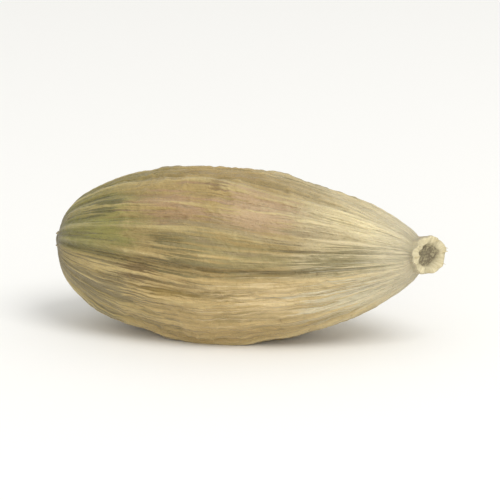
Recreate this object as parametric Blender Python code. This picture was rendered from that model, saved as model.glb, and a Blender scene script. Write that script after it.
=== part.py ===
"""A dried green cardamom pod, lying on its side at its real size.

The pod is one closed husk that grew as one piece, so it is one solid. It runs along X, from the
withered flower tip at -X to the short cut stalk at +X, with one lobe up and forward and the
groove below it in view from the front. The skin is raised by a formula: three lobes with a
groove between each two, 21 lengthwise ribs that run together at both ends, soft dents and cross
wrinkles. The underside is flattened a little where the pod rests. The origin is at the bottom
centre of the pod's box.
"""

import math
import random

import bmesh
import bpy
from mathutils import Vector, noise

MM = 0.001

# Husk: the plain body, before any relief
HUSK_LENGTH = 17.12 * MM
HUSK_RADIUS = 4.06 * MM
WIDEST_AT = 0.46  # share of the husk's length, measured from the flower tip
TIP_SIDE = {"bulge": 1.75, "round": 0.42}
STALK_SIDE = {"bulge": 1.85, "round": 0.87}
NECK_RADIUS = 1.15 * MM  # of the husk where the stalk leaves it

# Flower tip: the withered remains of the flower, a small blunt nub
TIP_LENGTH = 0.16 * MM
TIP_RADIUS = 0.42 * MM
TIP_END_RADIUS = 0.2 * MM
TIP_ROUNDING = 0.06 * MM
TIP_WIDEST_AT = 0.05 * MM  # beyond the husk

# Stalk: a short cut stub with a dried-out pith
STALK_LENGTH = 0.84 * MM
STALK_RADIUS = 0.84 * MM  # at its waist
STALK_LIP = 0.88 * MM  # the cut end, a little splayed
WAIST_AT = 0.33  # share of the stalk's length, measured from the husk
WAIST_SLANT = 0.25  # share of the cut end's slant
FIBRE_RIDGE = 0.05  # of the radius
FIBRE_RIDGES = 7  # round the stalk
FIBRE_PATCHES = 2  # in which they stand out or fade
LIP_BEVEL = 0.06 * MM
PITH_RADIUS = 0.52 * MM
PITH_FLOOR_RADIUS = 0.3 * MM
PITH_DEPTH = 0.3 * MM
CUT_SLANT = math.tan(math.radians(30))  # of the cut end, which faces forward

# Lie of the axis: both ends lift off the surface and the stalk leans forward
TIP_RISE = 0.2 * MM
STALK_RISE = 0.62 * MM
STALK_RISE_POWER = 1.5
STALK_LEAN = 0.8 * MM
LEANS_FROM = 0.7  # share of the husk's length at which the lean begins
LEANS_OVER = 0.5
ROLL = math.radians(28)  # of the upper lobe's crest, forward from straight up
TWIST = math.radians(14)

# Relief of the skin
LOBES = 3
LOBE_SWELL = 0.055
GROOVE_DEPTH = 0.24 * MM
GROOVE_HALF_WIDTH = math.radians(9)
RIBS_PER_LOBE = 7
RIBS = LOBES * RIBS_PER_LOBE
RIB_HEIGHT = 0.25 * MM
RIB_SHARPNESS = 1.2
SEAM_GAIN = 1.2  # the rib along each lobe's crest is where the pod would split
LOWEST_RIB = 0.45  # of RIB_HEIGHT
RIB_STRAY = 0.16  # of the gap between two ribs
RIB_SWAY = (0.04, 0.12)
RIB_WAVES = (0.8, 1.9)  # along the husk
RIB_SWELL = 0.18  # how much a rib's height comes and goes
SWELLS_PER_WAVE = 2.3
DENT_DEPTH = 0.16 * MM
DENT_SIZE = 3.4 * MM
WRINKLE_DEPTH = 0.07 * MM
WRINKLE_LENGTH = 1.0 * MM
WRINKLE_WIDTH = 1.5 * MM
RIB_SEED = 54

# Rest: how much of the underside is flattened
REST_FLAT = 0.52 * MM

# Mesh
HUSK_ROWS = 42
BUNCHING = 0.65  # of the rows towards both ends
SAMPLES_PER_RIB = 4
FIRST_ROW_AT = 0.004  # the husk's first row, where it leaves the flower tip
TWO_SAMPLES_FROM = 0.012
ALL_SAMPLES_FROM = 0.04
ALL_SAMPLES_TO = 0.975
AXIS_STEP = 0.05 * MM

HUSK_COLOUR = (0.42, 0.34, 0.16, 1.0)
HUSK_ROUGHNESS = 0.62


def smooth_step(x):
    x = min(1.0, max(0.0, x))
    return x * x * (3 - 2 * x)


def plain_radius(share):
    """Radius of the husk before relief, at this share of its length from the flower tip."""
    if share < WIDEST_AT:
        out = (WIDEST_AT - share) / WIDEST_AT
        return HUSK_RADIUS * (1 - out ** TIP_SIDE["bulge"]) ** TIP_SIDE["round"]
    out = (share - WIDEST_AT) / (1 - WIDEST_AT)
    neck = NECK_RADIUS / HUSK_RADIUS
    fall = max(0.0, 1 - out ** STALK_SIDE["bulge"]) ** STALK_SIDE["round"]
    return HUSK_RADIUS * (neck + (1 - neck) * fall)


def cover(share):
    """How much of the relief shows here: it shrinks with the husk as the ribs run together."""
    return plain_radius(share) / HUSK_RADIUS


def grow_ribs():
    """One row of habits for each rib: how far it strays, how high it stands and how it sways."""
    draw = random.Random(RIB_SEED)
    ribs = []
    for index in range(RIBS):
        on_crest = index % RIBS_PER_LOBE == 0
        ribs.append(
            {
                "stray": 0.0 if on_crest else draw.uniform(-RIB_STRAY, RIB_STRAY),
                "height": SEAM_GAIN if on_crest else draw.uniform(LOWEST_RIB, 1.0),
                "sway": draw.uniform(*RIB_SWAY),
                "waves": draw.uniform(*RIB_WAVES),
                "start": draw.uniform(0, math.tau),
            }
        )
    return ribs


def crest_angle(share):
    """Where around the pod the upper lobe's crest is here, counted from +Y towards +Z."""
    return math.pi / 2 + ROLL + TWIST * (share - 0.5)


def rib_angle(rib, index, share):
    """Where around the pod a rib runs here. Rib 0 follows the crest of the upper lobe."""
    sway = rib["sway"] * math.sin(rib["waves"] * math.tau * share + rib["start"])
    return crest_angle(share) + (index + rib["stray"] + sway) * math.tau / RIBS


def rib_rise(rib, share):
    """How high a rib stands here."""
    swell = math.sin(SWELLS_PER_WAVE * rib["waves"] * math.tau * share + 2 * rib["start"])
    return RIB_HEIGHT * rib["height"] * (1 - RIB_SWELL + RIB_SWELL * swell)


def crest(distance):
    """Cross-section of a rib, 1 on its line and 0 from half way to the next one."""
    if distance >= 0.5:
        return 0.0
    return (0.5 + 0.5 * math.cos(math.tau * distance)) ** RIB_SHARPNESS


def lobe_form(angle, share):
    """The three lobes as a factor on the radius, and the groove between them as a depth."""
    from_crest = LOBES * (angle - crest_angle(share))
    swell = 1 + LOBE_SWELL * cover(share) * math.cos(from_crest)
    from_groove = math.remainder(from_crest - math.pi, math.tau) / LOBES
    groove = GROOVE_DEPTH * cover(share) * math.exp(-((from_groove / GROOVE_HALF_WIDTH) ** 2))
    return swell, groove


def dents(x, across, up):
    """Soft hollows where the husk has shrunk, and finer wrinkles across it."""
    hollow = noise.noise(Vector((x, across, up)) / DENT_SIZE)
    wrinkle = noise.noise(
        Vector((x / WRINKLE_LENGTH, across / WRINKLE_WIDTH, up / WRINKLE_WIDTH))
    )
    return DENT_DEPTH * hollow + WRINKLE_DEPTH * wrinkle


def axis_point(x):
    """The pod's middle line, with x measured from the flower end of the husk."""
    share = x / HUSK_LENGTH
    if share < WIDEST_AT:
        rise = TIP_RISE * ((WIDEST_AT - share) / WIDEST_AT) ** 2
    else:
        rise = STALK_RISE * ((share - WIDEST_AT) / (1 - WIDEST_AT)) ** STALK_RISE_POWER
    return Vector((x, -STALK_LEAN * smooth_step((share - LEANS_FROM) / LEANS_OVER), rise))


def husk_ring(share, ribs, samples):
    """Radii and angles of one ring of the husk."""
    plain = plain_radius(share)
    ring = []
    for column in range(RIBS * samples):
        index = column // samples
        past = column / samples - index
        rib, after = ribs[index], ribs[(index + 1) % RIBS]
        angle = rib_angle(rib, index, share)
        angle += past * (rib_angle(after, index + 1, share) - angle)
        ribbing = rib_rise(rib, share) * crest(past) + rib_rise(after, share) * crest(1 - past)
        swell, groove = lobe_form(angle, share)
        sunk = dents(share * HUSK_LENGTH, plain * math.cos(angle), plain * math.sin(angle))
        radius = plain * swell + cover(share) * (ribbing + sunk) - groove
        ring.append((radius, angle))
    return ring


def stub_ring(radius, samples):
    """Radii and angles of one ring of the stalk or the flower tip, ridged by its fibres."""
    ring = []
    for column in range(RIBS * samples):
        angle = crest_angle(1) + column * math.tau / (RIBS * samples)
        ridge = math.cos(FIBRE_RIDGES * angle) * math.cos(FIBRE_PATCHES * angle + 1)
        ring.append((radius * (1 + FIBRE_RIDGE * ridge), angle))
    return ring


def place_ring(mesh, x, ring, slant=0.0):
    """Vertices of a ring that stands across the pod's middle line at x, its rear side further on."""
    centre = axis_point(x)
    along = (axis_point(x + AXIS_STEP) - axis_point(x - AXIS_STEP)).normalized()
    across = Vector((0, 0, 1)).cross(along).normalized()
    up = along.cross(across)
    across += slant * along
    return [
        mesh.verts.new(centre + radius * (math.cos(angle) * across + math.sin(angle) * up))
        for radius, angle in ring
    ]


def join_rings(mesh, first, second):
    """Faces between two rings, of which one may have twice the other's vertices."""
    if len(first) == len(second):
        for a in range(len(first)):
            b = (a + 1) % len(first)
            mesh.faces.new((first[a], first[b], second[b], second[a]))
        return
    fine, coarse = (first, second) if len(first) > len(second) else (second, first)
    for a in range(len(coarse)):
        b = (a + 1) % len(coarse)
        start, middle, end = fine[2 * a], fine[2 * a + 1], fine[2 * b]
        mesh.faces.new((start, middle, coarse[a]))
        mesh.faces.new((middle, end, coarse[b], coarse[a]))


def husk_stations():
    """Shares of the husk's length at which rings stand, closer together at the ends."""
    stations = []
    for row in range(HUSK_ROWS + 1):
        even = row / HUSK_ROWS
        bunched = (1 - math.cos(math.pi * even)) / 2
        spread = (1 - BUNCHING) * even + BUNCHING * bunched
        stations.append(FIRST_ROW_AT + (1 - FIRST_ROW_AT) * spread)
    return stations


def samples_at(share):
    """Columns for each rib, fewer where the ribs run together."""
    if share < TWO_SAMPLES_FROM:
        return 1
    if share < ALL_SAMPLES_FROM or share > ALL_SAMPLES_TO:
        return 2
    return SAMPLES_PER_RIB


def pod_mesh():
    """The whole pod, ring by ring from the flower tip to the pith of the stalk."""
    mesh = bmesh.new()
    ribs = grow_ribs()
    rings = []
    tip = (
        (-TIP_LENGTH, TIP_END_RADIUS),
        (TIP_ROUNDING - TIP_LENGTH, TIP_RADIUS - TIP_ROUNDING),
        (-TIP_WIDEST_AT, TIP_RADIUS),
    )
    for x, radius in tip:
        rings.append(place_ring(mesh, x, stub_ring(radius, 1)))
    for share in husk_stations():
        ring = husk_ring(share, ribs, samples_at(share))
        rings.append(place_ring(mesh, share * HUSK_LENGTH, ring))
    end = HUSK_LENGTH + STALK_LENGTH
    stalk = (
        (HUSK_LENGTH + WAIST_AT * STALK_LENGTH, STALK_RADIUS, WAIST_SLANT * CUT_SLANT),
        (end - LIP_BEVEL, STALK_LIP, CUT_SLANT),
        (end, STALK_LIP - LIP_BEVEL, CUT_SLANT),
        (end, PITH_RADIUS + LIP_BEVEL, CUT_SLANT),
        (end - LIP_BEVEL, PITH_RADIUS, CUT_SLANT),
        (end - PITH_DEPTH, PITH_FLOOR_RADIUS, CUT_SLANT),
    )
    for x, radius, slant in stalk:
        rings.append(place_ring(mesh, x, stub_ring(radius, 2), slant))
    for first, second in zip(rings, rings[1:]):
        join_rings(mesh, first, second)
    mesh.faces.new(rings[0])
    mesh.faces.new(rings[-1])
    bmesh.ops.recalc_face_normals(mesh, faces=mesh.faces)
    return mesh


def rest_on_surface(mesh):
    """Flattens the underside where the pod touches, and puts the origin at the bottom centre."""
    floor = min(vertex.co.z for vertex in mesh.verts) + REST_FLAT
    for vertex in mesh.verts:
        vertex.co.z = max(vertex.co.z, floor)
    low = Vector(min(vertex.co[k] for vertex in mesh.verts) for k in range(3))
    high = Vector(max(vertex.co[k] for vertex in mesh.verts) for k in range(3))
    middle = (low + high) / 2
    bmesh.ops.translate(mesh, verts=mesh.verts, vec=(-middle.x, -middle.y, -low.z))


def husk_material():
    """Dry, papery, dull khaki green."""
    material = bpy.data.materials.new("husk")
    material.use_nodes = True
    shader = material.node_tree.nodes["Principled BSDF"]
    shader.inputs["Base Color"].default_value = HUSK_COLOUR
    shader.inputs["Roughness"].default_value = HUSK_ROUGHNESS
    shader.inputs["Metallic"].default_value = 0.0
    return material


def main():
    for thing in list(bpy.data.objects):
        bpy.data.objects.remove(thing)
    mesh = pod_mesh()
    rest_on_surface(mesh)
    data = bpy.data.meshes.new("cardamom_pod")
    mesh.to_mesh(data)
    mesh.free()
    data.shade_smooth()
    data.materials.append(husk_material())
    bpy.context.scene.collection.objects.link(bpy.data.objects.new("cardamom_pod", data))


main()
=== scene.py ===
import math
import random

import bpy
import numpy as np
from mathutils import Euler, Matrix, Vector, noise


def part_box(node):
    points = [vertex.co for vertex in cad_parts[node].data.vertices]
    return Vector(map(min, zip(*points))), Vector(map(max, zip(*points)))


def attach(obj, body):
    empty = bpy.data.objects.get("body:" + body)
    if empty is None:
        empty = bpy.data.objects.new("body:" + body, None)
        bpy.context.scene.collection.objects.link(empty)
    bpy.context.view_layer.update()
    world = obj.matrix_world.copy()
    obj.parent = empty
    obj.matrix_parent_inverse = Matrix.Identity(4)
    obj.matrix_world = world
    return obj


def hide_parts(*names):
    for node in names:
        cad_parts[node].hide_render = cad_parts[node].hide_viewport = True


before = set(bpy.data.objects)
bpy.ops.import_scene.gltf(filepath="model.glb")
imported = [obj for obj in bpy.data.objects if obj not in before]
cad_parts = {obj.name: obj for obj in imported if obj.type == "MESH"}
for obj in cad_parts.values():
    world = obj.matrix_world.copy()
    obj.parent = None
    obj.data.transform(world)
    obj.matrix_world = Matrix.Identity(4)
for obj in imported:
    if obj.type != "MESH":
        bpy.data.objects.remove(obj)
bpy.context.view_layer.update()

# A dried green cardamom pod on a pale surface.
# All sizes below are in millimetres unless a note says otherwise; mm turns them to metres.
mm = 0.001

# Noise lines up along its own axes, so fine patterns are read in coordinates turned by this.
patternTurn = (0.6, 0.9, 0.4)
plainAxes = np.eye(3)
turnedAxes = np.array(Euler(patternTurn).to_matrix())
noiseSpan = (0.3, 0.7)  # most values of a noise pattern lie between these


def hexColour(code):  # sRGB hex to the linear colour that shaders take
    shares = [int(code[k : k + 2], 16) / 255 for k in (1, 3, 5)]
    linear = [s / 12.92 if s <= 0.04045 else ((s + 0.055) / 1.055) ** 2.4 for s in shares]
    return (*linear, 1.0)


def addNode(tree, kind, sockets=None, **settings):
    # sockets: what goes into each input, either a plain value or another node's output
    node = tree.nodes.new("ShaderNode" + kind)
    for name, value in settings.items():
        setattr(node, name, value)
    for key, value in (sockets or {}).items():
        if isinstance(value, bpy.types.NodeSocket):
            tree.links.new(value, node.inputs[key])
        else:
            node.inputs[key].default_value = value
    return node


def newMaterial(name):
    material = bpy.data.materials.new(name)
    material.use_nodes = True
    material.node_tree.nodes.clear()
    return material


def grownPattern(tree, place, length, width, detail):
    # plant tissue: soft noise drawn out to this length along the pod and this width round it
    place = addNode(
        tree,
        "VectorMath",
        {0: place, 1: (1 / length, 1 / width, 1 / width)},
        operation="MULTIPLY",
    ).outputs[0]
    place = addNode(
        tree, "VectorRotate", {"Vector": place, "Rotation": patternTurn}, rotation_type="EULER_XYZ"
    ).outputs[0]
    return addNode(
        tree, "TexNoise", {"Vector": place, "Scale": 1.0, "Detail": detail}
    ).outputs["Fac"]


def sumPatterns(tree, patterns, weights, total):
    # the total so far, plus each of these patterns times its weight
    for name, weight in weights.items():
        total = addNode(
            tree, "Math", {0: patterns[name], 1: weight, 2: total}, operation="MULTIPLY_ADD"
        ).outputs[0]
    return total


def addObject(name, points, faces):
    mesh = bpy.data.meshes.new(name)
    mesh.from_pydata(points, [], faces)
    mesh.shade_smooth()
    piece = bpy.data.objects.new(name, mesh)
    bpy.context.scene.collection.objects.link(piece)
    return piece


def smoothStep(x):
    x = np.clip(x, 0.0, 1.0)
    return x * x * (3 - 2 * x)


def softNoise(x, across, up, length, width, axes=turnedAxes):
    # the same kind of noise for the mesh, at points round the pod
    along = np.broadcast_to(x, across.shape) / length
    places = np.stack([along, across / width, up / width], axis=1) @ axes
    return np.array([noise.noise(Vector(place)) for place in places])


# Husk, with the blunt end where the flower was and the stalk

husk = {
    "length": 17.12,  # without the stalk and the flower tip
    "radius": 4.06,
    "widestAt": 0.46,  # share of the length, counted from the flower tip
    "tipSide": (1.75, 0.42),  # how full and how blunt the flower end is
    "stalkSide": (1.85, 0.87),
    "neckRadius": 1.15,
    "tipRise": 0.2,  # both ends lift off the surface
    "stalkRise": 0.62,
    "stalkRisePower": 1.5,
    "stalkLean": 0.8,  # towards the viewer
    "leansFrom": 0.7,
    "leansOver": 0.5,
    "roll": math.radians(28),  # of the upper lobe's crest, forward from straight up
    "twist": math.radians(14),
    "lobes": 3,
    "lobeSwell": 0.055,  # of the radius
    "grooveDepth": 0.24,  # between two lobes
    "grooveHalfWidth": math.radians(9),
    "seamDepth": 0.08,  # the fine line at the bottom of that groove
    "seamHalfWidth": math.radians(1.6),
    "seamFadesAt": 0.2,  # share of the full relief
    "seamFadesOver": 0.5,
    "ribsPerLobe": 7,
    "ribHeight": 0.25,
    "ribSharpness": 1.8,
    "seamGain": 1.2,  # the rib on each lobe's crest is where a pod splits
    "lowestRib": 0.45,
    "ribStray": 0.16,  # of the gap between two ribs
    "ribSway": (0.04, 0.12),  # of the gap
    "ribWaves": (0.8, 1.9),  # from end to end
    "ribSwell": 0.18,  # of its height
    "swellsPerWave": 2.3,
    "reliefAtNeck": 0.55,  # the share that is left where the ribs run into the stalk
    "settlesOver": 1.1,  # the last stretch before the neck
    "veinPlaces": (0.3, 0.5, 0.7),  # thin veins between each two ribs
    "veinStray": 0.06,  # of the gap
    "veinHeight": (0.02, 0.14),
    "veinHalfWidth": 0.07,  # of the gap
    "veinFades": 11,  # radians from end to end, as a vein comes and goes
    "veinSway": 0.05,  # of the gap
    "veinSways": 8,  # radians from end to end
    "dentDepth": 0.16,
    "dentSize": 3.4,
    "wrinkleDepth": 0.07,
    "wrinkleLength": 1.0,
    "wrinkleWidth": 1.5,
    "netHeight": 0.08,  # the net of thin veins that the dry skin clings to
    "netLength": 1.5,
    "netWidth": 0.42,
    "netLine": 0.3,  # how broad its lines are
    "netSharpness": 1.5,
    "netOnRibs": 0.3,  # share of its height there
    "puckerPatch": 2.4,  # patches where the skin has puckered across the furrows
    "puckerCover": (0.35, 2.6),  # how much of the skin they take, how sharply they end
    "puckerDepth": 0.07,
    "puckerLength": 0.3,
    "puckerWidth": 0.6,
    "puckerBend": 0.5,  # how far the net bends them
    "puckerOnRibs": 0.25,  # share of their depth there
    "striaDepth": 0.08,  # fibres that show through the skin
    "striaLength": 3.2,
    "striaWidth": 0.22,
    "crinkleDepth": 0.035,  # of the papery skin itself
    "crinkleSize": 0.28,
    "fineMean": 0.03,  # of all the fine relief, taken off again so that the pod keeps its size
    # what the material reads, from 0 to 1: how far a place stands out, and how much painted shade
    # lies in the groove between two lobes
    "outByRibs": 0.8,
    "outByRelief": 3.5,
    "shadeByGroove": 0.6,
    "bellyEdge": 0.5,  # soft edge of the lobe under the front groove; one lobe is 2 pi
    "flattened": 0.52,  # of the underside
    "flattenedEdge": 0.05,
    "rows": 268,
    "bunching": 0.5,  # of the rows towards both ends
    "firstRowAt": 0.004,
    "samplesAbove": ((1.5, 16), (0.45, 8), (0.2, 4)),  # points for each rib above these radii
    "fewestSamples": 2,
    "seed": 54,
}
ribCount = husk["lobes"] * husk["ribsPerLobe"]

flowerTip = {
    "length": 0.16,
    "radius": 0.42,
    "widestAt": 0.05,  # beyond the husk
    "endRadius": 0.2,
    "rounding": 0.06,
}

stalk = {
    "length": 0.84,
    "radius": 0.84,
    # its rings: share of its length, radius, share of the cut's slant, how torn the fibres are
    "rings": (
        (0.08, 1.08, 0.04, 0.0),
        (0.16, 0.99, 0.09, 0.0),
        (0.26, 0.9, 0.18, 0.0),
        (0.36, 0.8484, 0.28, 0.1),
        (0.48, 0.84, 0.45, 0.2),
        (0.6, 0.8484, 0.6, 0.3),
        (0.78, 0.8568, 0.82, 0.5),
    ),
    "lip": 0.88,  # the cut end is a little splayed
    "lipBevel": 0.06,
    "lipTorn": (0.8, 0.9),  # at the two rings of the bevel
    "cutSlant": math.tan(math.radians(30)),  # the cut end faces forward
    "cutRows": 13,
    "cutCentre": 0.03,  # radius of its last ring
    "ribsFadeOver": 0.7,  # of the stalk's length
    "fibreRidge": 0.05,  # of the radius
    "fibreRidges": 7,
    "ridgePatches": 2,  # where they are stronger
    "ridgeStart": 1,
    "fineRidge": 0.045,
    "fineLength": 1.4,
    "fineWidth": 0.16,
    "tornDepth": 0.16,  # how unevenly the fibres broke
    "tornSize": 0.3,
    "pithRadius": 0.52,
    "pithEdge": 0.2,
    "pithDepth": 0.2,
    "pithRagged": 0.5,  # how unevenly it ends
    # what the material reads: how far a place stands out, from 0 to 1
    "outPlain": 0.45,
    "outByRidges": 5,
    "outByTears": 1.2,
}


def plainRadius(share):
    if share < husk["widestAt"]:
        bulge, blunt = husk["tipSide"]
        out = (husk["widestAt"] - share) / husk["widestAt"]
        return husk["radius"] * (1 - out**bulge) ** blunt
    bulge, blunt = husk["stalkSide"]
    out = (share - husk["widestAt"]) / (1 - husk["widestAt"])
    neck = husk["neckRadius"] / husk["radius"]
    return husk["radius"] * (neck + (1 - neck) * max(0.0, 1 - out**bulge) ** blunt)


def growRibs():  # each rib's habits, in one array for each habit
    draw = random.Random(husk["seed"])
    ribs = {"stray": [], "height": [], "sway": [], "waves": [], "start": []}
    for index in range(ribCount):
        onCrest = index % husk["ribsPerLobe"] == 0
        stray = 0.0 if onCrest else draw.uniform(-husk["ribStray"], husk["ribStray"])
        ribs["stray"].append(stray)
        ribs["height"].append(husk["seamGain"] if onCrest else draw.uniform(husk["lowestRib"], 1))
        ribs["sway"].append(draw.uniform(*husk["ribSway"]))
        ribs["waves"].append(draw.uniform(*husk["ribWaves"]))
        ribs["start"].append(draw.uniform(0, math.tau))
    return {habit: np.array(values) for habit, values in ribs.items()}


def growVeins():  # the veins of each gap: place in the gap, height and phase
    draw = random.Random(husk["seed"] + 1)
    veins = []
    for place in husk["veinPlaces"]:
        rows = []
        for index in range(ribCount):
            stray = draw.uniform(-husk["veinStray"], husk["veinStray"])
            height, phase = draw.uniform(*husk["veinHeight"]), draw.uniform(0, math.tau)
            rows.append((place + stray, height, phase))
        veins.append(np.array(rows))
    return veins


ribs = growRibs()
veins = growVeins()


def crestAngle(share):
    return math.pi / 2 + husk["roll"] + husk["twist"] * (share - 0.5)


def ribAngle(rib, index, share):
    sway = ribs["sway"][rib] * np.sin(ribs["waves"][rib] * math.tau * share + ribs["start"][rib])
    return crestAngle(share) + (index + ribs["stray"][rib] + sway) * math.tau / ribCount


def ribRise(rib, share):
    turn = husk["swellsPerWave"] * ribs["waves"][rib] * math.tau * share
    swell = np.sin(turn + 2 * ribs["start"][rib])
    return ribs["height"][rib] * (1 - husk["ribSwell"] + husk["ribSwell"] * swell)


def ribShape(distance):  # 1 on the rib's line and 0 from half way to the next one
    wave = 0.5 + 0.5 * np.cos(math.tau * np.minimum(distance, 0.5))
    return wave ** husk["ribSharpness"]


def veinRelief(index, past, share):
    relief = np.zeros(len(index))
    for vein in veins:
        place, height, phase = vein[index].T
        comes = 0.5 + 0.5 * np.sin(phase + husk["veinFades"] * share)
        sways = husk["veinSway"] * np.sin(phase + husk["veinSways"] * share)
        beside = (past - place - sways) / husk["veinHalfWidth"]
        relief += height * comes * np.exp(-(beside**2))
    return relief


def fineRelief(x, across, up, grainAcross, grainUp, low):
    # the net of veins, puckers across the furrows, fibres along the pod, and the skin's crinkle
    cells = softNoise(x, grainAcross, grainUp, husk["netLength"], husk["netWidth"])
    net = np.clip(1 - np.abs(cells) / husk["netLine"], 0, 1) ** husk["netSharpness"]
    size, (cover, contrast) = husk["puckerPatch"], husk["puckerCover"]
    puckered = smoothStep(cover + contrast * softNoise(x, grainAcross, grainUp, size, size))
    bent = x + husk["puckerBend"] * cells
    pucker = softNoise(bent, grainAcross, grainUp, husk["puckerLength"], husk["puckerWidth"])
    stria = softNoise(x, grainAcross, grainUp, husk["striaLength"], husk["striaWidth"])
    crinkle = softNoise(x, across, up, husk["crinkleSize"], husk["crinkleSize"])
    netShows = husk["netOnRibs"] + (1 - husk["netOnRibs"]) * low
    puckerShows = husk["puckerOnRibs"] + (1 - husk["puckerOnRibs"]) * low
    relief = husk["netHeight"] * net * netShows
    relief += husk["puckerDepth"] * pucker * puckered * puckerShows
    return relief + husk["striaDepth"] * stria + husk["crinkleDepth"] * crinkle


def huskRing(share, samples):
    # one ring of the husk: radius and angle of each point, and what the material reads there
    x, plain = share * husk["length"], plainRadius(share)
    least = husk["reliefAtNeck"]
    fromNeck = (1 - share) * husk["length"] / husk["settlesOver"]
    settles = least + (1 - least) * smoothStep(fromNeck)
    cover = settles * plain / husk["radius"]  # the relief shrinks as the ribs run together
    column = np.arange(ribCount * samples)
    index, past = column // samples, (column % samples) / samples
    after = (index + 1) % ribCount
    angle = ribAngle(index, index, share)
    angle = angle + past * (ribAngle(after, index + 1, share) - angle)
    ribbing = ribRise(index, share) * ribShape(past) + ribRise(after, share) * ribShape(1 - past)
    veining = veinRelief(index, past, share)

    fromCrest = husk["lobes"] * (angle - crestAngle(share))
    swell = 1 + husk["lobeSwell"] * cover * np.cos(fromCrest)
    fromGroove = (np.remainder(fromCrest, math.tau) - math.pi) / husk["lobes"]
    groove = np.exp(-((fromGroove / husk["grooveHalfWidth"]) ** 2))
    seam = np.exp(-((fromGroove / husk["seamHalfWidth"]) ** 2))
    seamShows = smoothStep((cover - husk["seamFadesAt"]) / husk["seamFadesOver"])

    across, up = plain * np.cos(angle), plain * np.sin(angle)
    size = husk["dentSize"]
    dents = husk["dentDepth"] * softNoise(x, across, up, size, size, plainAxes)
    dents += husk["wrinkleDepth"] * softNoise(
        x, across, up, husk["wrinkleLength"], husk["wrinkleWidth"], plainAxes
    )
    # the finer relief follows the ribs, so it is laid out on their own turn round the pod
    turn = (index + past) * math.tau / ribCount
    grainAcross, grainUp = husk["radius"] * np.cos(turn), husk["radius"] * np.sin(turn)
    low = 1 - np.clip(ribbing, 0, 1)
    fine = fineRelief(x, across, up, grainAcross, grainUp, low)

    relief = husk["ribHeight"] * ribbing + veining + dents + fine - husk["fineMean"]
    radius = plain * swell + cover * (relief - husk["grooveDepth"] * groove)
    radius -= husk["seamDepth"] * seam * seamShows
    # the belly's colour is partly its own yellow-tan and partly painted bounce light from the pale
    # floor
    edge = husk["bellyEdge"]  # the belly is the lobe under the groove that faces the viewer
    bellyToneAndBounce = smoothStep((fromCrest - math.pi) / edge)
    bellyToneAndBounce *= smoothStep((3 * math.pi - fromCrest) / edge)
    return {
        "x": x,
        "slant": 0.0,
        "radius": radius,
        "angle": angle,
        "lift": np.zeros(len(column)),
        "grain": np.stack([np.full(len(column), x), grainAcross, grainUp], axis=1),
        "rise": np.clip(husk["outByRibs"] * ribbing + husk["outByRelief"] * (veining + fine), 0, 1),
        # painted shade: the groove between two lobes and its seam are drawn darker
        "grooveShade": np.clip(husk["shadeByGroove"] * (groove + seam), 0, 1) * cover,
        "zone": bellyToneAndBounce,
    }


def stubRing(x, radius, samples, slant=0.0, torn=0.0, pith=0.0):
    # one ring of the flower tip or the stalk, ridged by its fibres
    column = np.arange(ribCount * samples)
    turn = column * math.tau / (ribCount * samples)
    angle = crestAngle(1) + turn
    coarse = np.cos(stalk["fibreRidges"] * angle)
    coarse *= np.cos(stalk["ridgePatches"] * angle + stalk["ridgeStart"])
    across, up = stalk["radius"] * np.cos(angle), stalk["radius"] * np.sin(angle)
    fine = softNoise(x, across, up, stalk["fineLength"], stalk["fineWidth"])
    ridge = stalk["fibreRidge"] * coarse + stalk["fineRidge"] * fine
    radii = radius * (1 + ridge)
    size = stalk["tornSize"]
    broken = softNoise(0, radii * np.cos(angle), radii * np.sin(angle), size, size)
    out = stalk["outPlain"] + stalk["outByRidges"] * ridge + stalk["outByTears"] * torn * broken
    grainAcross, grainUp = husk["radius"] * np.cos(turn), husk["radius"] * np.sin(turn)
    return {
        "x": x,
        "slant": slant,
        "radius": radii,
        "angle": angle,
        "lift": torn * stalk["tornDepth"] * broken,
        "grain": np.stack([np.full(len(column), x), grainAcross, grainUp], axis=1),
        "rise": np.clip(out, 0, 1),
        "grooveShade": np.zeros(len(column)),
        "zone": np.clip(pith + stalk["pithRagged"] * pith * broken, 0, 1),
    }


def axisPoint(x):
    share = x / husk["length"]
    out = share - husk["widestAt"]
    if out < 0:
        rise = husk["tipRise"] * (out / husk["widestAt"]) ** 2
    else:
        rise = husk["stalkRise"] * (out / (1 - husk["widestAt"])) ** husk["stalkRisePower"]
    lean = husk["stalkLean"] * smoothStep((share - husk["leansFrom"]) / husk["leansOver"])
    return Vector((x, -lean, rise))


def axisFrame(x):  # the pod's middle line at x: the point, its way on, and the ring's two sides
    step = 0.05
    along = (axisPoint(x + step) - axisPoint(x - step)).normalized()
    across = Vector((0, 0, 1)).cross(along).normalized()
    return axisPoint(x), along, across, along.cross(across)


def ringPoints(ring):
    centre, along, across, up = (np.array(v) for v in axisFrame(ring["x"]))
    across = across + ring["slant"] * along
    radius, angle, lift = (ring[name][:, None] for name in ("radius", "angle", "lift"))
    return centre + radius * (np.cos(angle) * across + np.sin(angle) * up) + lift * along


def joinRings(first, second):
    # faces between two rings of vertex numbers, of which one may have twice the other's
    faces = []
    if len(first) == len(second):
        for a in range(len(first)):
            b = (a + 1) % len(first)
            faces.append((first[a], first[b], second[b], second[a]))
        return faces
    grows = len(second) > len(first)
    fine, coarse = (second, first) if grows else (first, second)
    for a in range(len(coarse)):
        b = (a + 1) % len(coarse)
        start, middle, end = fine[2 * a], fine[2 * a + 1], fine[2 * b]
        pair = [(start, middle, coarse[a]), (middle, end, coarse[b], coarse[a])]
        faces += [face[::-1] for face in pair] if grows else pair
    return faces


def samplesFor(radius):  # fewer points for each rib where the pod is thin
    for least, samples in husk["samplesAbove"]:
        if radius > least:
            return samples
    return husk["fewestSamples"]


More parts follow.
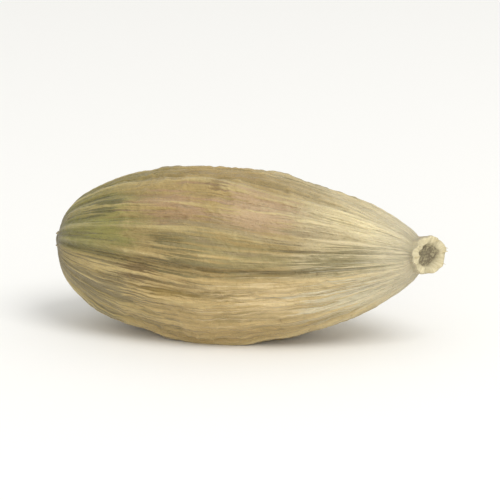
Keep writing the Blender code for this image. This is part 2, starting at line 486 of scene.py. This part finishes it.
def huskRings():
    length, radius, rounding = (flowerTip[name] for name in ("length", "radius", "rounding"))
    rings = []
    for x, ringRadius in (
        (-length, flowerTip["endRadius"]),
        (rounding - length, radius - rounding),
        (-flowerTip["widestAt"], radius),
    ):
        rings.append(stubRing(x, ringRadius, samplesFor(ringRadius)))
    for row in range(husk["rows"] + 1):
        even = row / husk["rows"]
        bunched = (1 - math.cos(math.pi * even)) / 2
        spread = even + husk["bunching"] * (bunched - even)
        share = husk["firstRowAt"] + (1 - husk["firstRowAt"]) * spread
        rings.append(huskRing(share, samplesFor(plainRadius(share))))
    return rings


def stalkRings():
    start, length, end = husk["length"], stalk["length"], husk["length"] + stalk["length"]
    lip, bevel, slant = stalk["lip"], stalk["lipBevel"], stalk["cutSlant"]
    before, after = stalk["lipTorn"]
    lipRings = (
        (1 - bevel / length, lip, 1, before),
        (1 - bevel / length / 3, lip - bevel / 3, 1, after),
    )
    samples = samplesFor(husk["neckRadius"])
    foot, rings = huskRing(1.0, samples), []
    for along, radius, tilt, torn in stalk["rings"] + lipRings:
        ring = stubRing(start + along * length, radius, samples, slant * tilt, torn)
        # the husk's ribs run on into the stalk and fade out along it
        fades = float(smoothStep(along / stalk["ribsFadeOver"]))
        ribbed = {name: foot[name] for name in ("angle", "rise")}
        ribbed["radius"] = foot["radius"] * radius / husk["neckRadius"]
        for name, value in ribbed.items():
            ring[name] = value + fades * (ring[name] - value)
        ring["zone"] = foot["zone"]
        rings.append(ring)
    for row in range(stalk["cutRows"] + 1):
        radius = (lip - bevel) * (1 - row / stalk["cutRows"]) + stalk["cutCentre"]
        pith = float(smoothStep((stalk["pithRadius"] - radius) / stalk["pithEdge"] + 0.5))
        x = end - stalk["pithDepth"] * pith
        rings.append(stubRing(x, radius, samplesFor(radius), slant, 1.0, pith))
    return rings


def buildPod():
    rings = huskRings() + stalkRings()
    firstCut = len(rings) - stalk["cutRows"] - 1
    numbers, count = [], 0
    for ring in rings:
        numbers.append(range(count, count + len(ring["radius"])))
        count += len(ring["radius"])
    faces = [tuple(numbers[0])[::-1]]
    for first, second in zip(numbers, numbers[1:]):
        if second is numbers[firstCut]:
            skinFaces = len(faces)
        faces += joinRings(first, second)
    faces.append(tuple(numbers[-1]))
    points = np.concatenate([ringPoints(ring) for ring in rings])

    # the pod's weight has pressed its underside flat where it rests
    floor, edge = points[:, 2].min() + husk["flattened"], husk["flattenedEdge"]
    points[:, 2] = floor + edge * np.log1p(np.exp((points[:, 2] - floor) / edge))
    low, high = points.min(axis=0), points.max(axis=0)
    cadLow, cadHigh = (np.array(corner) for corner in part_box("cardamom_pod"))
    shift = (cadLow + cadHigh) / 2 / mm - (low + high) / 2
    shift[2] = cadLow[2] / mm - low[2]

    pod = addObject("cardamom_husk", ((points + shift) * mm).tolist(), faces)
    mesh = pod.data
    grain = np.concatenate([ring["grain"] for ring in rings])
    mesh.attributes.new("grain", "FLOAT_VECTOR", "POINT").data.foreach_set("vector", grain.ravel())
    for name in ("rise", "grooveShade", "zone"):
        values = np.concatenate([ring[name] for ring in rings])
        mesh.attributes.new(name, "FLOAT", "POINT").data.foreach_set("value", values)
    slots = np.zeros(len(faces), dtype=np.int32)
    slots[skinFaces:] = 1  # the snapped end of the stalk
    mesh.materials.append(huskMaterial())
    mesh.materials.append(stalkMaterial())
    mesh.polygons.foreach_set("material_index", slots)
    return pod, Vector(shift)


# Cardamom husk: a fibrous fruit skin, dried in warm air until it is papery.
# It gives a dull, low-contrast skin with a faint satin on the rib crests, straw-coloured fibres
# over green-tan furrows, and green left at the flower end, where the skin dried last.
huskLook = {
    "middle": "#A68F5E",
    # Zones of colour: what each follows, two values of that with the zone's share at each, and its
    # colour. Between the two values the share changes smoothly. The stains lie over these zones.
    "zones": (
        ("frayed", (6.8, 1.0), (13.6, 0.0), "#807B46"),  # green flower end
        ("frayed", (15.5, 0.0), (21.5, 0.85), "#D5C7A1"),  # cream stalk end
        # partly the belly's own yellow-tan, partly painted bounce light from the pale floor
        ("bellyToneAndBounce", (0.0, 0.0), (1.0, 0.55), "#C5AC7A"),
        ("crest", (0.15, 0.4), (0.62, 0.0), "#82744A"),  # green-brown furrows
        ("crest", (0.55, 0.0), (1.3, 0.5), "#CBBB8A"),  # straw-coloured ribs
    ),
    "zonesOverStains": (
        ("along", (14.6, 0.0), (16.9, 0.75), "#DED2B0"),  # the neck, pale like the stalk
        # painted shade: the groove between two lobes is drawn darker
        ("grooveShade", (0.2, 0.0), (1.0, 0.32), "#6F6140"),  # between two lobes
        ("along", (0.0, 0.6), (0.9, 0.0), "#7F7152"),  # where the flower withered
        ("speck", (-0.03, 0.0), (0.08, 0.65), "#6B5235"),
    ),
    # patterns of the skin: length along the pod, width round it, detail
    "patterns": {
        "blotches": (2.8, 2.1, 4.0),
        "bands": (14.0, 1.0, 2.0),  # some ribs are paler than others
        "fibres": (5.0, 0.2, 2.0),  # under the skin
        "threads": (2.4, 0.09, 2.0),  # really about 0.03 wide; drawn coarser so that they show
        "crinkle": (0.22, 0.16, 4.0),
    },
    # how strongly the patterns fray the zones and the stains, shade the skin and stand out of it
    "zoneFray": {"blotches": 5.0, "bands": 8.0},
    "crestFray": {"fibres": 0.5},
    "ovalFray": {"blotches": 1.6, "fibres": 3.5, "threads": 4.6},
    "shading": {"bands": 0.3, "fibres": 0.5, "threads": 0.66, "crinkle": 0.16},
    "relief": {"crinkle": 1.0, "threads": 1.0, "fibres": 0.5},
    "reliefDepth": 0.12,
    # brown specks, one in some cells of a net: the net's gap, which share of the cells has none,
    # the biggest speck as a share of the gap, and how ragged their edges are
    "specks": {
        "gap": 1.05,
        "emptyShare": 0.62,
        "biggest": 0.14,
        "raggedSize": 0.22,
        "raggedDetail": 2.0,
        "raggedReach": (0.3, 0.22, 0.22),
    },
    "ovalEdge": (0.45, 1.2),  # a stain fades between these shares of its size
    "brightness": 0.945,
    "saturation": 1.04,
    "roughness": (0.42, 0.7),
    "crestPolish": 0.08,  # the crests are rubbed a little smoother
    "ior": 1.47,
    "lightThrough": 0.1,  # share of the light that enters the thin skin
    "lightReach": 0.4,
    "lightByColour": (1.0, 0.7, 0.35),
    "bloom": (0.1, 0.5),  # sheen of the dry fibres, and its roughness
}

# Stains that the skin got as it dried, and among them three painted marks, each noted where it
# stands: a painted highlight near the stalk end, a painted highlight on the belly and painted
# shade along the groove. Each is an oval round a point on the pod: how far from the flower end it
# lies, its turn round the pod from the upper lobe's crest towards the viewer in degrees, its half
# length and half width, its colour, and how strongly it tints the skin.
stainsAndPaintedLight = [
    {"x": 3.0, "turn": 34, "size": (1.6, 1.6), "colour": "#928E4C", "amount": 0.6},  # green
    {"x": 2.6, "turn": 21, "size": (0.9, 0.6), "colour": "#5E5936", "amount": 0.75},
    {"x": 2.4, "turn": 96, "size": (2.4, 2.4), "colour": "#7F7455", "amount": 0.7},  # dull
    {"x": 5.0, "turn": 65, "size": (0.7, 0.5), "colour": "#5F4C2C", "amount": 0.85},  # brown
    # painted shade: a dark band along the groove, just under the brown scar
    {"x": 5.8, "turn": 70, "size": (1.8, 0.6), "colour": "#8A7448", "amount": 0.55},
    {"x": 6.9, "turn": 52, "size": (1.6, 0.8), "colour": "#726841", "amount": 0.82},  # olive
    {"x": 6.6, "turn": 16, "size": (1.7, 1.0), "colour": "#AC8C6B", "amount": 0.7},  # rosy
    {"x": 10.2, "turn": 20, "size": (2.0, 1.2), "colour": "#BD9F80", "amount": 0.65},
    {"x": 8.3, "turn": 4, "size": (0.5, 0.35), "colour": "#7F6840", "amount": 0.55},
    {"x": 9.6, "turn": 46, "size": (2.4, 1.1), "colour": "#A09365", "amount": 0.65},  # olive
    {"x": 15.2, "turn": 50, "size": (2.1, 1.4), "colour": "#877C54", "amount": 0.78},  # grey
    {"x": 13.8, "turn": 24, "size": (1.3, 0.9), "colour": "#B3A17B", "amount": 0.6},
    # painted highlight: a bright cream patch on the upper lobe near the stalk end, where the key
    # light falls
    {"x": 16.2, "turn": 7, "size": (1.9, 1.2), "colour": "#F2E2B2", "amount": 0.9},  # cream
    # painted highlight: a pale patch on the belly, under the groove
    {"x": 10.9, "turn": 83, "size": (2.4, 1.1), "colour": "#E3CB9B", "amount": 0.75},
    {"x": 15.3, "turn": 92, "size": (2.4, 1.7), "colour": "#E2D7B6", "amount": 0.85},
    {"x": 6.4, "turn": 80, "size": (1.4, 0.4), "colour": "#8F783D", "amount": 0.6},  # brown
    {"x": 9.0, "turn": 205, "size": (3.0, 2.2), "colour": "#9C9160", "amount": 0.6},  # behind
    {"x": 5.0, "turn": 260, "size": (2.0, 1.6), "colour": "#AC8C6B", "amount": 0.6},
    {"x": 11.5, "turn": 300, "size": (2.4, 1.8), "colour": "#A09672", "amount": 0.6},
]


def speckNearness(tree, grain, look):  # above 0 inside a speck
    ragged = addNode(
        tree,
        "TexNoise",
        {"Vector": grain, "Scale": 1 / look["raggedSize"], "Detail": look["raggedDetail"]},
    ).outputs["Color"]
    ragged = addNode(
        tree, "VectorMath", {0: ragged, 1: look["raggedReach"], 2: grain}, operation="MULTIPLY_ADD"
    ).outputs[0]
    cells = addNode(tree, "TexVoronoi", {"Vector": ragged, "Scale": 1 / look["gap"]})
    chance = addNode(tree, "SeparateXYZ", {0: cells.outputs["Color"]}).outputs["X"]
    reach = addNode(
        tree, "MapRange", {0: chance, 1: look["emptyShare"], 2: 1.0, 3: 0.0, 4: look["biggest"]}
    ).outputs[0]
    return addNode(
        tree, "Math", {0: reach, 1: cells.outputs["Distance"]}, operation="SUBTRACT"
    ).outputs[0]


def zoneLayer(tree, measures, zone):  # how much of a zone's colour shows, and the colour
    follows, (start, first), (end, last), colour = zone
    share = addNode(
        tree,
        "MapRange",
        {0: measures[follows], 1: start, 2: end, 3: first, 4: last},
        interpolation_type="SMOOTHSTEP",
    ).outputs[0]
    return share, colour


def ovalLayer(tree, grain, frayed, oval):
    turn, (length, width) = math.radians(oval["turn"]), oval["size"]
    centre = (oval["x"], husk["radius"] * math.cos(turn), husk["radius"] * math.sin(turn))
    away = addNode(tree, "VectorMath", {0: grain, 1: centre}, operation="SUBTRACT").outputs[0]
    away = addNode(
        tree,
        "VectorMath",
        {0: away, 1: (1 / length, 1 / width, 1 / width)},
        operation="MULTIPLY",
    ).outputs[0]
    reach = addNode(tree, "VectorMath", {0: away}, operation="LENGTH").outputs["Value"]
    reach = addNode(tree, "Math", {0: frayed, 1: reach}, operation="ADD").outputs[0]
    inner, outer = huskLook["ovalEdge"]
    share = addNode(
        tree,
        "MapRange",
        {0: reach, 1: inner, 2: outer, 3: oval["amount"], 4: 0.0},
        interpolation_type="SMOOTHSTEP",
    ).outputs[0]
    return share, oval["colour"]


def huskMaterial():
    look = huskLook
    material = newMaterial("airDriedHusk")
    tree = material.node_tree
    grain = addNode(tree, "Attribute", attribute_name="grain").outputs["Vector"]
    rise, grooveShade, bellyToneAndBounce = (
        addNode(tree, "Attribute", attribute_name=name).outputs["Fac"]
        for name in ("rise", "grooveShade", "zone")
    )
    along = addNode(tree, "SeparateXYZ", {0: grain}).outputs["X"]
    patterns = {name: grownPattern(tree, grain, *size) for name, size in look["patterns"].items()}

    # zones run into each other in blotches and along the ribs; a rib's crest stands out of them
    measures = {
        "along": along,
        "frayed": sumPatterns(tree, patterns, look["zoneFray"], along),
        "crest": sumPatterns(tree, patterns, look["crestFray"], rise),
        "bellyToneAndBounce": bellyToneAndBounce,
        "grooveShade": grooveShade,
        "speck": speckNearness(tree, grain, look["specks"]),
    }
    layers = [zoneLayer(tree, measures, zone) for zone in look["zones"]]
    mean = sum(look["ovalFray"].values()) / 2  # a pattern is 0.5 on average
    frayed = sumPatterns(tree, patterns, look["ovalFray"], -mean)
    layers += [ovalLayer(tree, grain, frayed, oval) for oval in stainsAndPaintedLight]
    layers += [zoneLayer(tree, measures, zone) for zone in look["zonesOverStains"]]
    skin = hexColour(look["middle"])
    for share, colour in layers:
        skin = addNode(
            tree, "Mix", {0: share, 6: skin, 7: hexColour(colour)}, data_type="RGBA"
        ).outputs[2]
    mean = sum(look["shading"].values()) / 2
    shade = sumPatterns(tree, patterns, look["shading"], look["brightness"] - mean)
    skin = addNode(
        tree, "HueSaturation", {"Saturation": look["saturation"], "Value": shade, "Color": skin}
    ).outputs[0]

    (least, most), (smooth, dull) = noiseSpan, look["roughness"]
    rough = addNode(
        tree, "MapRange", {0: patterns["threads"], 1: least, 2: most, 3: smooth, 4: dull}
    ).outputs[0]
    rough = addNode(
        tree, "Math", {0: rise, 1: -look["crestPolish"], 2: rough}, operation="MULTIPLY_ADD"
    ).outputs[0]
    height = sumPatterns(tree, patterns, look["relief"], 0.0)
    bump = addNode(
        tree, "Bump", {"Distance": look["reliefDepth"] * mm, "Height": height}
    ).outputs[0]
    shader = addNode(
        tree,
        "BsdfPrincipled",
        {
            "Base Color": skin,
            "Roughness": rough,
            "Normal": bump,
            "IOR": look["ior"],
            "Subsurface Weight": look["lightThrough"],
            "Subsurface Radius": look["lightByColour"],
            "Subsurface Scale": look["lightReach"] * mm,
            "Sheen Weight": look["bloom"][0],
            "Sheen Roughness": look["bloom"][1],
        },
    )
    addNode(tree, "OutputMaterial", {"Surface": shader.outputs[0]})
    return material


# Stalk end: woody fibres, snapped across, then dried.
# It gives a pale straw rim of broken fibres round a darker, sunken, porous pith.
stalkLook = {
    "rim": "#D5C9A4",
    "fibre": "#B3A47B",
    "pith": "#9B9171",
    "pore": "#655943",
    "fibres": (1.2, 0.3, 3.0),  # length, width, detail
    "fibreEdge": (0.4, 0.68),  # values of the pattern where a fibre starts and is full
    "fibreShare": 0.5,
    "pores": (0.1, 3.0),  # size, detail; really about 0.04, drawn coarser so that they show
    "poreEdge": (0.62, 0.42),  # the same for a pore, which is where the pattern is low
    "poreShare": 0.8,
    "brightness": 0.86,
    # painted light and shade: what stands out is drawn brighter, what lies low darker
    "paintedLightOnRidges": 0.22,  # on what stands out
    "relief": (0.8, 0.06),  # strength, depth
    "roughness": (0.68, 0.86),
    "ior": 1.5,
}


def markedColour(tree, pattern, edge, share, plain, mark):
    # the plain colour, with this share of the mark's where the pattern passes its edge
    start, full = edge
    marked = addNode(
        tree,
        "MapRange",
        {0: pattern, 1: start, 2: full, 3: 0.0, 4: share},
        interpolation_type="SMOOTHSTEP",
    ).outputs[0]
    return addNode(
        tree, "Mix", {0: marked, 6: hexColour(plain), 7: hexColour(mark)}, data_type="RGBA"
    ).outputs[2]


def stalkMaterial():
    look = stalkLook
    material = newMaterial("snappedStalk")
    tree = material.node_tree
    grain = addNode(tree, "Attribute", attribute_name="grain").outputs["Vector"]
    rise, pith = (
        addNode(tree, "Attribute", attribute_name=name).outputs["Fac"] for name in ("rise", "zone")
    )
    place = addNode(tree, "TexCoord").outputs["Object"]
    fibres = grownPattern(tree, grain, *look["fibres"])
    size, detail = look["pores"]
    pores = grownPattern(tree, place, size * mm, size * mm, detail)

    rim = markedColour(
        tree, fibres, look["fibreEdge"], look["fibreShare"], look["rim"], look["fibre"]
    )
    sponge = markedColour(
        tree, pores, look["poreEdge"], look["poreShare"], look["pith"], look["pore"]
    )
    wood = addNode(tree, "Mix", {0: pith, 6: rim, 7: sponge}, data_type="RGBA").outputs[2]
    # painted light and shade: raised fibres are drawn brighter, low ones darker
    shade = addNode(
        tree,
        "Math",
        {0: rise, 1: look["paintedLightOnRidges"], 2: look["brightness"]},
        operation="MULTIPLY_ADD",
    ).outputs[0]
    wood = addNode(tree, "HueSaturation", {"Value": shade, "Color": wood}).outputs[0]

    height = addNode(tree, "Math", {0: fibres, 1: pores}, operation="ADD").outputs[0]
    strength, depth = look["relief"]
    bump = addNode(
        tree, "Bump", {"Strength": strength, "Distance": depth * mm, "Height": height}
    ).outputs[0]
    (least, most), (smooth, dull) = noiseSpan, look["roughness"]
    rough = addNode(
        tree, "MapRange", {0: pores, 1: least, 2: most, 3: smooth, 4: dull}
    ).outputs[0]
    shader = addNode(
        tree,
        "BsdfPrincipled",
        {"Base Color": wood, "Roughness": rough, "Normal": bump, "IOR": look["ior"]},
    )
    addNode(tree, "OutputMaterial", {"Surface": shader.outputs[0]})
    return material


print("husk: growing ribs, veins and wrinkles")
pod, podShift = buildPod()
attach(pod, "root")
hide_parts("cardamom_pod")
print("husk:", len(pod.data.polygons), "faces")


# Dry flakes and torn fibres

def flake(sections):
    # a flat tapering strip with rounded edges; each section is its centre, its side and its up
    # direction with their half sizes as lengths
    points, faces, sides = [], [], 8
    for centre, side, up in sections:
        for k in range(sides):
            turn = math.tau * k / sides
            points.append(centre + math.cos(turn) * side + math.sin(turn) * up)
    rings = [range(k * sides, (k + 1) * sides) for k in range(len(sections))]
    for first, second in zip(rings, rings[1:]):
        faces += joinRings(first, second)
    faces.append(tuple(rings[0])[::-1])
    faces.append(tuple(rings[-1]))
    return points, faces


def joinFlakes(name, flakes, material):
    points, faces = [], []
    for flakePoints, flakeFaces in flakes:
        start = len(points)
        points += [(point + podShift) * mm for point in flakePoints]
        faces += [tuple(start + number for number in face) for face in flakeFaces]
    piece = addObject(name, points, faces)
    piece.data.materials.append(material)
    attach(piece, "root")
    return piece


# Withered flower leaves: thin plant scales that dried and curled on the pod.
# They give brittle brown edges and a dull, flaky tip.
witheredLook = {
    "dark": "#7D6C49",
    "pale": "#B0A078",
    "flecks": (0.36, 0.12, 4.0),  # length, width, detail
    "fleckEdge": (0.35, 0.65),
    "relief": (0.6, 0.02),  # strength, depth
    "roughness": (0.65, 0.85),
    "ior": 1.47,
}

# Torn stalk fibres: bundles of plant fibre, pulled apart when the pod was picked.
# They give pale, matt splinters round the cut.
tornLook = {
    "dark": "#B3A379",
    "pale": "#D9CDA6",
    "flecks": (0.3, 0.1, 4.0),
    "fleckEdge": (0.35, 0.65),
    "relief": (0.6, 0.015),
    "roughness": (0.6, 0.8),
    "ior": 1.5,
}


def flakeMaterial(name, look):
    material = newMaterial(name)
    tree = material.node_tree
    place = addNode(tree, "TexCoord").outputs["Object"]
    length, width, detail = look["flecks"]
    flecks = grownPattern(tree, place, length * mm, width * mm, detail)
    start, full = look["fleckEdge"]
    aged = addNode(tree, "MapRange", {0: flecks, 1: start, 2: full}).outputs[0]
    colour = addNode(
        tree,
        "Mix",
        {0: aged, 6: hexColour(look["dark"]), 7: hexColour(look["pale"])},
        data_type="RGBA",
    ).outputs[2]
    strength, depth = look["relief"]
    bump = addNode(
        tree, "Bump", {"Strength": strength, "Distance": depth * mm, "Height": flecks}
    ).outputs[0]
    smooth, dull = look["roughness"]
    rough = addNode(tree, "MapRange", {0: flecks, 3: smooth, 4: dull}).outputs[0]
    shader = addNode(
        tree,
        "BsdfPrincipled",
        {"Base Color": colour, "Roughness": rough, "Normal": bump, "IOR": look["ior"]},
    )
    addNode(tree, "OutputMaterial", {"Surface": shader.outputs[0]})
    return material


flowerScales = {  # dry flower leaves that stay on
    "count": 8,
    "length": (0.08, 0.24),
    "halfWidth": (0.09, 0.15),
    "endHalfWidth": 0.012,
    "taper": 1.6,
    "thickness": 0.05,
    "thins": 0.55,  # by this share towards its end
    "stray": 0.3,  # of the gap between two
    "curl": (-0.05, 0.18),  # inwards at its end
    "lean": (-0.25, 0.25),  # radians
    "root": 0.06,  # how far on from the tip a scale starts
    "rootAt": 0.97,  # of the tip's radius
    "arch": 0.04,
    "steps": 7,
    "seed": 7,
}


def buildFlowerTip():
    draw = random.Random(flowerScales["seed"])
    flakes, steps, count = [], flowerScales["steps"], flowerScales["count"]
    root, stray = flowerScales["root"], flowerScales["stray"]
    for number in range(count):
        turn = (number + draw.uniform(-stray, stray)) * math.tau / count
        length = draw.uniform(*flowerScales["length"])
        half = draw.uniform(*flowerScales["halfWidth"])
        curl, leans = draw.uniform(*flowerScales["curl"]), draw.uniform(*flowerScales["lean"])
        sections = []
        for step in range(steps):
            share = step / (steps - 1)
            centre, along, across, up = axisFrame(root - (length + root) * share)
            angle = turn + leans * share
            outward = math.cos(angle) * across + math.sin(angle) * up
            beside = along.cross(outward)
            out = flowerTip["radius"] * flowerScales["rootAt"] - curl * share**2
            out += flowerScales["arch"] * math.sin(math.pi * share)
            thick = flowerScales["thickness"] / 2 * (1 - flowerScales["thins"] * share)
            wide = half * (1 - share ** flowerScales["taper"]) + flowerScales["endHalfWidth"]
            sections.append((centre + out * outward, -beside * wide, outward * thick))
        flakes.append(flake(sections))
    return joinFlakes("flower_tip", flakes, flakeMaterial("witheredFlower", witheredLook))


stalkStrands = {  # torn fibres round the cut
    "count": 13,
    "length": (0.08, 0.3),
    "halfWidth": (0.03, 0.055),
    "taper": (0.8, 1.5),  # by this share towards its end, and how late
    "flatness": 0.6,
    "stray": 0.35,  # of the gap between two
    "splay": (-0.25, 0.45),  # outwards at its end, as a share of its length
    "lean": (-0.3, 0.3),  # radians
    "inset": (0.07, 0.16),  # from the lip
    "root": 0.14,  # how deep in the stalk a strand starts
    "steps": 6,
    "seed": 11,
}


def buildStalkFibres():
    draw = random.Random(stalkStrands["seed"])
    flakes, steps, count = [], stalkStrands["steps"], stalkStrands["count"]
    root, stray = stalkStrands["root"], stalkStrands["stray"]
    thins, late = stalkStrands["taper"]
    centre, along, across, up = axisFrame(husk["length"] + stalk["length"])
    for number in range(count):
        turn = (number + draw.uniform(-stray, stray)) * math.tau / count
        length = draw.uniform(*stalkStrands["length"])
        half = draw.uniform(*stalkStrands["halfWidth"])
        splay, leans = draw.uniform(*stalkStrands["splay"]), draw.uniform(*stalkStrands["lean"])
        radius = stalk["lip"] - draw.uniform(*stalkStrands["inset"])
        sections = []
        for step in range(steps):
            share = step / (steps - 1)
            angle = turn + leans * share
            outward = math.cos(angle) * across + math.sin(angle) * up
            beside = along.cross(outward)
            on = stalk["cutSlant"] * radius * math.cos(angle) + (length + root) * share - root
            point = centre + on * along + (radius + splay * length * share**2) * outward
            wide = half * (1 - thins * share**late)
            sections.append((point, beside * wide, outward * wide * stalkStrands["flatness"]))
        flakes.append(flake(sections))
    return joinFlakes("stalk_fibres", flakes, flakeMaterial("tornFibre", tornLook))


print("ends: dry flower scales and torn stalk fibres")
buildFlowerTip()
buildStalkFibres()


# Stage

stage = {
    "floorSize": 2.4,  # metres
    "floor": "#F4F3EF",
    "floorRoughness": 0.9,
    "floorSpecular": 0.2,
    "sky": "#FFFFFF",
    "skyStrength": 0.78,
    # soft boxes: power in watts, width and place in metres
    "lights": {
        "softKey": (0.38, 0.16, (0.13, -0.1, 0.24)),
        "lowFill": (0.17, 0.16, (0.01, -0.24, 0.02)),
    },
    "azimuth": 14.0,  # degrees, to the stalk's side
    "elevation": 15.0,
    "distance": 0.163,  # metres
    "lens": 250.0,
    "clip": (0.01, 10.0),  # metres
    "aim": (0.0, 0.0, 0.0039),
}


def buildFloor():
    half = stage["floorSize"] / 2
    corners = [(-half, -half, 0), (half, -half, 0), (half, half, 0), (-half, half, 0)]
    floor = addObject("floor", corners, [(0, 1, 2, 3)])
    # matt painted board: even, pale and without gloss
    material = newMaterial("mattPaintedBoard")
    tree = material.node_tree
    shader = addNode(
        tree,
        "BsdfPrincipled",
        {
            "Base Color": hexColour(stage["floor"]),
            "Roughness": stage["floorRoughness"],
            "Specular IOR Level": stage["floorSpecular"],
        },
    )
    addNode(tree, "OutputMaterial", {"Surface": shader.outputs[0]})
    floor.data.materials.append(material)


def buildLight():
    world = bpy.data.worlds.new("paleRoom")
    world.use_nodes = True
    world.node_tree.nodes["Background"].inputs[0].default_value = hexColour(stage["sky"])
    world.node_tree.nodes["Background"].inputs[1].default_value = stage["skyStrength"]
    bpy.context.scene.world = world
    for name, (power, size, place) in stage["lights"].items():
        light = bpy.data.lights.new(name, "AREA")
        light.energy, light.size = power, size
        lamp = bpy.data.objects.new(name, light)
        lamp.location = place
        lamp.rotation_euler = (-Vector(place)).to_track_quat("-Z", "Y").to_euler()
        bpy.context.scene.collection.objects.link(lamp)


def buildCamera():
    azimuth, elevation = math.radians(stage["azimuth"]), math.radians(stage["elevation"])
    level = math.cos(elevation)
    back = Vector((math.sin(azimuth) * level, -math.cos(azimuth) * level, math.sin(elevation)))
    lens = bpy.data.cameras.new("camera")
    lens.lens = stage["lens"]
    lens.clip_start, lens.clip_end = stage["clip"]
    camera = bpy.data.objects.new("camera", lens)
    camera.location = Vector(stage["aim"]) + back * stage["distance"]
    camera.rotation_euler = (-back).to_track_quat("-Z", "Y").to_euler()
    bpy.context.scene.collection.objects.link(camera)
    bpy.context.scene.camera = camera


print("stage: floor, light and camera")
buildFloor()
buildLight()
buildCamera()
bpy.context.scene.view_settings.view_transform = "Standard"

print("all pieces made")
